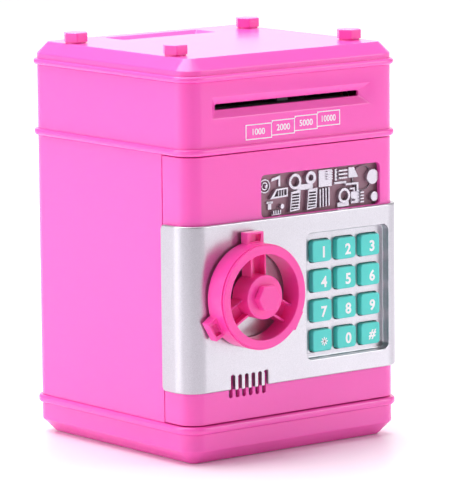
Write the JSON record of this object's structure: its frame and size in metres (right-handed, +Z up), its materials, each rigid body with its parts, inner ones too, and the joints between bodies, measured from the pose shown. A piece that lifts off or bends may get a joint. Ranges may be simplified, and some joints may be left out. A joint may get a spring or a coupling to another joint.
{
  "type": "toy safe coin bank",
  "caption": "Plastic toy safe with a hinged front door, hand wheel lock, key pad, banknote slot with a motor feed and a coin slot in the lid.",
  "frame": {"origin": "centre of the base's underside", "axes": "+X to the right and +Y to the back as seen from the front door, +Z up"},
  "size_m": [0.128, 0.1398, 0.19],
  "materials": {
    "pink_shell": "semi-gloss moulded",
    "hot_pink": "semi-gloss moulded",
    "silver_plate": "silver lacquer",
    "mint_keys": "satin",
    "mauve_panel": "satin",
    "grey_plastic": "matte",
    "white_plastic": "matte",
    "rubber": "matte",
    "steel": "zinc plated",
    "brass": "plain",
    "board": "lacquered"
  },
  "bodies": {
    "bank": {"base_tray": "pink_shell", "base_deck": "pink_shell", "base_screws": "steel", "battery_cover": "pink_shell", "battery_cover_screw": "steel", "batteries": "grey_plastic", "battery_contacts": "steel", "floor_panel": "pink_shell", "case_shell": "pink_shell", "case_screws": "steel", "hinge_pins": "steel", "head_shell": "pink_shell", "bill_guide": "grey_plastic", "roller_brackets": "steel", "feed_motor": "steel", "motor_cradle": "grey_plastic", "drive_belt": "rubber", "bill_switch": "grey_plastic", "coin_chute": "grey_plastic", "lid": "pink_shell", "lid_bolts": "pink_shell"},
    "door": {"door_shell": "pink_shell", "door_liner": "grey_plastic", "liner_screws": "steel", "front_plate": "silver_plate", "window_relief": "mauve_panel", "keypad_mat": "rubber", "keypad_board": "board", "board_screws": "steel", "speaker": "grey_plastic", "solenoid": "steel"},
    "wheel": {"hand_wheel": "hot_pink", "hub_nut": "hot_pink", "spindle": "steel", "lock_disc": "grey_plastic", "lock_tongue": "steel", "tongue_nut": "steel"},
    "plunger": {"solenoid_plunger": "brass"},
    "feed_roller": {"feed_shaft": "steel", "feed_tyres": "rubber", "drive_pulley": "white_plastic"},
    "pinch_roller": {"pinch_shaft": "steel", "pinch_rollers": "white_plastic"},
    "motor_rotor": {"motor_pulley": "white_plastic"},
    "note_lever": {"bill_lever": "mint_keys"},
    "key_1": {"key_1": "mint_keys"},
    "key_2": {"key_2": "mint_keys"},
    "key_3": {"key_3": "mint_keys"},
    "key_4": {"key_4": "mint_keys"},
    "key_5": {"key_5": "mint_keys"},
    "key_6": {"key_6": "mint_keys"},
    "key_7": {"key_7": "mint_keys"},
    "key_8": {"key_8": "mint_keys"},
    "key_9": {"key_9": "mint_keys"},
    "key_star": {"key_star": "mint_keys"},
    "key_0": {"key_0": "mint_keys"},
    "key_hash": {"key_hash": "mint_keys"}
  },
  "joints": [
    {"name": "door_hinge", "type": "hinge", "parent": "bank", "child": "door", "pos_m": [0.0598, -0.0437, 0.08], "axis": [0, 0, 1], "range_deg": [0, 95]},
    {"name": "wheel_turn", "type": "hinge", "parent": "door", "child": "wheel", "pos_m": [-0.0295, -0.06, 0.0765], "axis": [0, 1, 0], "range_deg": [-90, 0]},
    {"name": "plunger_lift", "type": "slide", "parent": "door", "child": "plunger", "axis": [0, 0, 1], "range_m": [0, 0.003]},
    {"name": "feed_spin", "type": "hinge", "parent": "bank", "child": "feed_roller", "pos_m": [0, -0.04, 0.1558], "axis": [1, 0, 0], "continuous": true},
    {"name": "pinch_spin", "type": "hinge", "parent": "bank", "child": "pinch_roller", "pos_m": [0, -0.04, 0.1672], "axis": [1, 0, 0], "continuous": true},
    {"name": "motor_spin", "type": "hinge", "parent": "bank", "child": "motor_rotor", "pos_m": [0.038, 0.002, 0.1558], "axis": [1, 0, 0], "continuous": true},
    {"name": "lever_swing", "type": "hinge", "parent": "bank", "child": "note_lever", "pos_m": [0, -0.0505, 0.167], "axis": [1, 0, 0], "range_deg": [0, 35], "stiffness_Nm_per_rad": 0.0005, "springref_deg": -17.19},
    {"name": "key_1_press", "type": "slide", "parent": "door", "child": "key_1", "axis": [0, 1, 0], "range_m": [0, 0.0012], "stiffness_N_per_m": 400, "springref_m": -0.0006},
    {"name": "key_2_press", "type": "slide", "parent": "door", "child": "key_2", "axis": [0, 1, 0], "range_m": [0, 0.0012], "stiffness_N_per_m": 400, "springref_m": -0.0006},
    {"name": "key_3_press", "type": "slide", "parent": "door", "child": "key_3", "axis": [0, 1, 0], "range_m": [0, 0.0012], "stiffness_N_per_m": 400, "springref_m": -0.0006},
    {"name": "key_4_press", "type": "slide", "parent": "door", "child": "key_4", "axis": [0, 1, 0], "range_m": [0, 0.0012], "stiffness_N_per_m": 400, "springref_m": -0.0006},
    {"name": "key_5_press", "type": "slide", "parent": "door", "child": "key_5", "axis": [0, 1, 0], "range_m": [0, 0.0012], "stiffness_N_per_m": 400, "springref_m": -0.0006},
    {"name": "key_6_press", "type": "slide", "parent": "door", "child": "key_6", "axis": [0, 1, 0], "range_m": [0, 0.0012], "stiffness_N_per_m": 400, "springref_m": -0.0006},
    {"name": "key_7_press", "type": "slide", "parent": "door", "child": "key_7", "axis": [0, 1, 0], "range_m": [0, 0.0012], "stiffness_N_per_m": 400, "springref_m": -0.0006},
    {"name": "key_8_press", "type": "slide", "parent": "door", "child": "key_8", "axis": [0, 1, 0], "range_m": [0, 0.0012], "stiffness_N_per_m": 400, "springref_m": -0.0006},
    {"name": "key_9_press", "type": "slide", "parent": "door", "child": "key_9", "axis": [0, 1, 0], "range_m": [0, 0.0012], "stiffness_N_per_m": 400, "springref_m": -0.0006},
    {"name": "key_star_press", "type": "slide", "parent": "door", "child": "key_star", "axis": [0, 1, 0], "range_m": [0, 0.0012], "stiffness_N_per_m": 400, "springref_m": -0.0006},
    {"name": "key_0_press", "type": "slide", "parent": "door", "child": "key_0", "axis": [0, 1, 0], "range_m": [0, 0.0012], "stiffness_N_per_m": 400, "springref_m": -0.0006},
    {"name": "key_hash_press", "type": "slide", "parent": "door", "child": "key_hash", "axis": [0, 1, 0], "range_m": [0, 0.0012], "stiffness_N_per_m": 400, "springref_m": -0.0006}
  ],
  "couplings": [
    {"joint": "pinch_spin", "follows": "feed_spin", "ratio": -1.4444},
    {"joint": "motor_spin", "follows": "feed_spin", "ratio": 2.2857}
  ]
}
